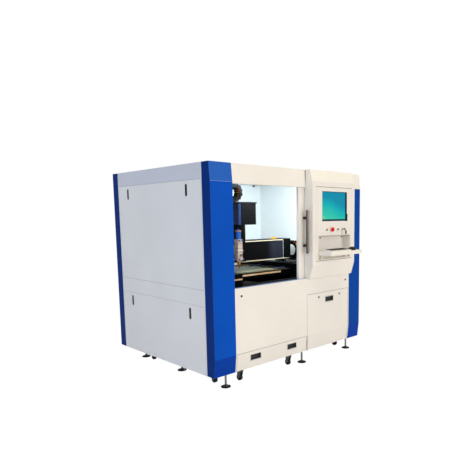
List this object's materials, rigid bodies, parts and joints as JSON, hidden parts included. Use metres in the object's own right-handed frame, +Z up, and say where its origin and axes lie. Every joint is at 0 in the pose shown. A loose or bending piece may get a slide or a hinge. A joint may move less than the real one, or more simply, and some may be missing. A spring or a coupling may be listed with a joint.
{
  "type": "fiber laser cutting machine",
  "caption": "Enclosed gantry laser cutter with blue columns, sliding door, operator console with fold-up keyboard flap, slag cart and open cutting chamber.",
  "frame": {"origin": "on the floor under the middle of the whole machine's bounding box", "axes": "+Z up, the operator's front faces -Y, +X to the operator's right"},
  "size_m": [1.98, 1.936, 1.9],
  "materials": {
    "axis_aluminium": "black anodised",
    "bellows_fabric": "matte coated cloth",
    "black_paint": "satin",
    "black_plastic": "matte",
    "blue_paint": "satin",
    "chain_plastic": "matte",
    "connector_blue": "anodised",
    "frame_steel": "satin",
    "green_plastic": "gloss",
    "grey_paint": "fine textured satin",
    "grey_plastic": "gloss",
    "handle_steel": "polished",
    "head_aluminium": "satin",
    "light_plastic": "matte",
    "liner_paint": "satin",
    "motor_paint": "satin",
    "navy_paint": "satin",
    "nozzle_metal": "turned",
    "red_plastic": "gloss",
    "sheet_steel": "brushed",
    "table_steel": "mill",
    "wheel_rubber": "matte",
    "white_paint": "fine textured satin",
    "window_glass": "clear safety glass",
    "zinc_steel": "brushed"
  },
  "bodies": {
    "machine": {"base_frame": "frame_steel", "levelling_feet": "zinc_steel", "caster_forks": "zinc_steel", "column_front_left": "blue_paint", "column_front_right": "blue_paint", "column_cap_right": "white_paint", "columns_rear": "navy_paint", "roof_panel": "grey_paint", "header": "white_paint", "front_frame": "white_paint", "lower_front_panel": "white_paint", "console_back_panel": "white_paint", "side_frames": "grey_paint", "side_panels_right": "grey_paint", "rear_panels": "grey_paint", "door_tracks": "zinc_steel", "chamber_liner": "liner_paint", "machine_bed": "black_paint", "cutting_table": "table_steel", "metal_sheet": "sheet_steel", "console_housing": "white_paint", "console_panel": "white_paint", "monitor": "black_plastic", "laser_source": "grey_paint"},
    "door": {"sliding_door": "white_paint", "door_window": "window_glass", "door_handle": "handle_steel"},
    "flap": {"keyboard_flap": "white_paint", "keyboard": "light_plastic", "mouse": "black_plastic"},
    "estop": {"emergency_stop": "red_plastic"},
    "grey_button": {"button_grey": "grey_plastic"},
    "green_button": {"button_green": "green_plastic"},
    "key": {"key_switch": "zinc_steel"},
    "cart": {"slag_cart": "white_paint"},
    "cart_swivel_left": {"cart_fork_left": "zinc_steel"},
    "cart_roller_left": {"cart_wheel_left": "wheel_rubber"},
    "cart_swivel_right": {"cart_fork_right": "zinc_steel"},
    "cart_roller_right": {"cart_wheel_right": "wheel_rubber"},
    "roller_1": {"caster_wheel_1": "wheel_rubber"},
    "roller_2": {"caster_wheel_2": "wheel_rubber"},
    "roller_3": {"caster_wheel_3": "wheel_rubber"},
    "roller_4": {"caster_wheel_4": "wheel_rubber"},
    "service_door": {"lower_door": "white_paint"},
    "panel_upper": {"side_panel_left_upper": "grey_paint"},
    "panel_lower": {"side_panel_left_lower": "grey_paint"},
    "lever_upper_front": {"latch_upper_front": "black_plastic"},
    "lever_upper_rear": {"latch_upper_rear": "black_plastic"},
    "lever_lower_front": {"latch_lower_front": "black_plastic"},
    "lever_lower_rear": {"latch_lower_rear": "black_plastic"},
    "gantry": {"gantry_beam": "black_paint", "cable_chain_y": "chain_plastic"},
    "carriage": {"carriage": "axis_aluminium", "z_motor": "motor_paint", "cable_chain_x": "chain_plastic", "beam_bellows": "bellows_fabric"},
    "z_axis": {"z_plate": "axis_aluminium", "cutting_head": "head_aluminium", "fibre_connector": "connector_blue", "nozzle": "nozzle_metal"}
  },
  "joints": [
    {"name": "door_slide", "type": "slide", "parent": "machine", "child": "door", "axis": [-1, 0, 0], "range_m": [0, 0.815]},
    {"name": "flap_hinge", "type": "hinge", "parent": "machine", "child": "flap", "pos_m": [0, -0.793, 1.096], "axis": [-1, 0, 0], "range_deg": [0, 90]},
    {"name": "estop_press", "type": "slide", "parent": "machine", "child": "estop", "axis": [0, 1, 0], "range_m": [0, 0.005]},
    {"name": "grey_press", "type": "slide", "parent": "machine", "child": "grey_button", "axis": [0, 1, 0], "range_m": [0, 0.004], "stiffness_N_per_m": 400, "springref_m": -0.001},
    {"name": "green_press", "type": "slide", "parent": "machine", "child": "green_button", "axis": [0, 1, 0], "range_m": [0, 0.004], "stiffness_N_per_m": 400, "springref_m": -0.001},
    {"name": "key_turn", "type": "hinge", "parent": "machine", "child": "key", "pos_m": [0.57, -0.807, 1.332], "axis": [0, 1, 0], "range_deg": [0, 90]},
    {"name": "cart_slide", "type": "slide", "parent": "machine", "child": "cart", "axis": [0, -1, 0], "range_m": [0, 0.65]},
    {"name": "cart_swivel_left", "type": "hinge", "parent": "cart", "child": "cart_swivel_left", "pos_m": [-0.618, -0.595, 0.1], "axis": [0, 0, 1], "continuous": true},
    {"name": "cart_roll_left", "type": "hinge", "parent": "cart_swivel_left", "child": "cart_roller_left", "pos_m": [-0.618, -0.577, 0.032], "axis": [1, 0, 0], "continuous": true},
    {"name": "cart_swivel_right", "type": "hinge", "parent": "cart", "child": "cart_swivel_right", "pos_m": [0.0025, -0.595, 0.1], "axis": [0, 0, 1], "continuous": true},
    {"name": "cart_roll_right", "type": "hinge", "parent": "cart_swivel_right", "child": "cart_roller_right", "pos_m": [0.0025, -0.577, 0.032], "axis": [1, 0, 0], "continuous": true},
    {"name": "roll_1", "type": "hinge", "parent": "machine", "child": "roller_1", "pos_m": [-0.807, -0.459, 0.032], "axis": [1, 0, 0], "continuous": true},
    {"name": "roll_2", "type": "hinge", "parent": "machine", "child": "roller_2", "pos_m": [0.881, -0.459, 0.032], "axis": [1, 0, 0], "continuous": true},
    {"name": "roll_3", "type": "hinge", "parent": "machine", "child": "roller_3", "pos_m": [-0.807, 0.573, 0.032], "axis": [1, 0, 0], "continuous": true},
    {"name": "roll_4", "type": "hinge", "parent": "machine", "child": "roller_4", "pos_m": [0.881, 0.573, 0.032], "axis": [1, 0, 0], "continuous": true},
    {"name": "service_door_lift_off", "type": "slide", "parent": "machine", "child": "service_door", "axis": [0, -1, 0], "range_m": [0, 0.3]},
    {"name": "panel_upper_lift_off", "type": "slide", "parent": "machine", "child": "panel_upper", "axis": [-1, 0, 0], "range_m": [0, 0.3]},
    {"name": "panel_lower_lift_off", "type": "slide", "parent": "machine", "child": "panel_lower", "axis": [-1, 0, 0], "range_m": [0, 0.3]},
    {"name": "latch_upper_front", "type": "hinge", "parent": "panel_upper", "child": "lever_upper_front", "pos_m": [-0.9855, -0.384, 1.7225], "axis": [0, 1, 0], "range_deg": [0, 25]},
    {"name": "latch_upper_rear", "type": "hinge", "parent": "panel_upper", "child": "lever_upper_rear", "pos_m": [-0.9855, 0.611, 1.7225], "axis": [0, 1, 0], "range_deg": [0, 25]},
    {"name": "latch_lower_front", "type": "hinge", "parent": "panel_lower", "child": "lever_lower_front", "pos_m": [-0.9855, -0.384, 0.6795], "axis": [0, 1, 0], "range_deg": [0, 25]},
    {"name": "latch_lower_rear", "type": "hinge", "parent": "panel_lower", "child": "lever_lower_rear", "pos_m": [-0.9855, 0.611, 0.6795], "axis": [0, 1, 0], "range_deg": [0, 25]},
    {"name": "gantry_travel", "type": "slide", "parent": "machine", "child": "gantry", "axis": [0, 1, 0], "range_m": [-0.1, 0.45], "deforming": ["cable_chain_y"]},
    {"name": "carriage_travel", "type": "slide", "parent": "gantry", "child": "carriage", "axis": [1, 0, 0], "range_m": [-0.2, 0.48], "deforming": ["cable_chain_x", "beam_bellows"]},
    {"name": "z_travel", "type": "slide", "parent": "carriage", "child": "z_axis", "axis": [0, 0, 1], "range_m": [-0.042, 0.06]}
  ]
}
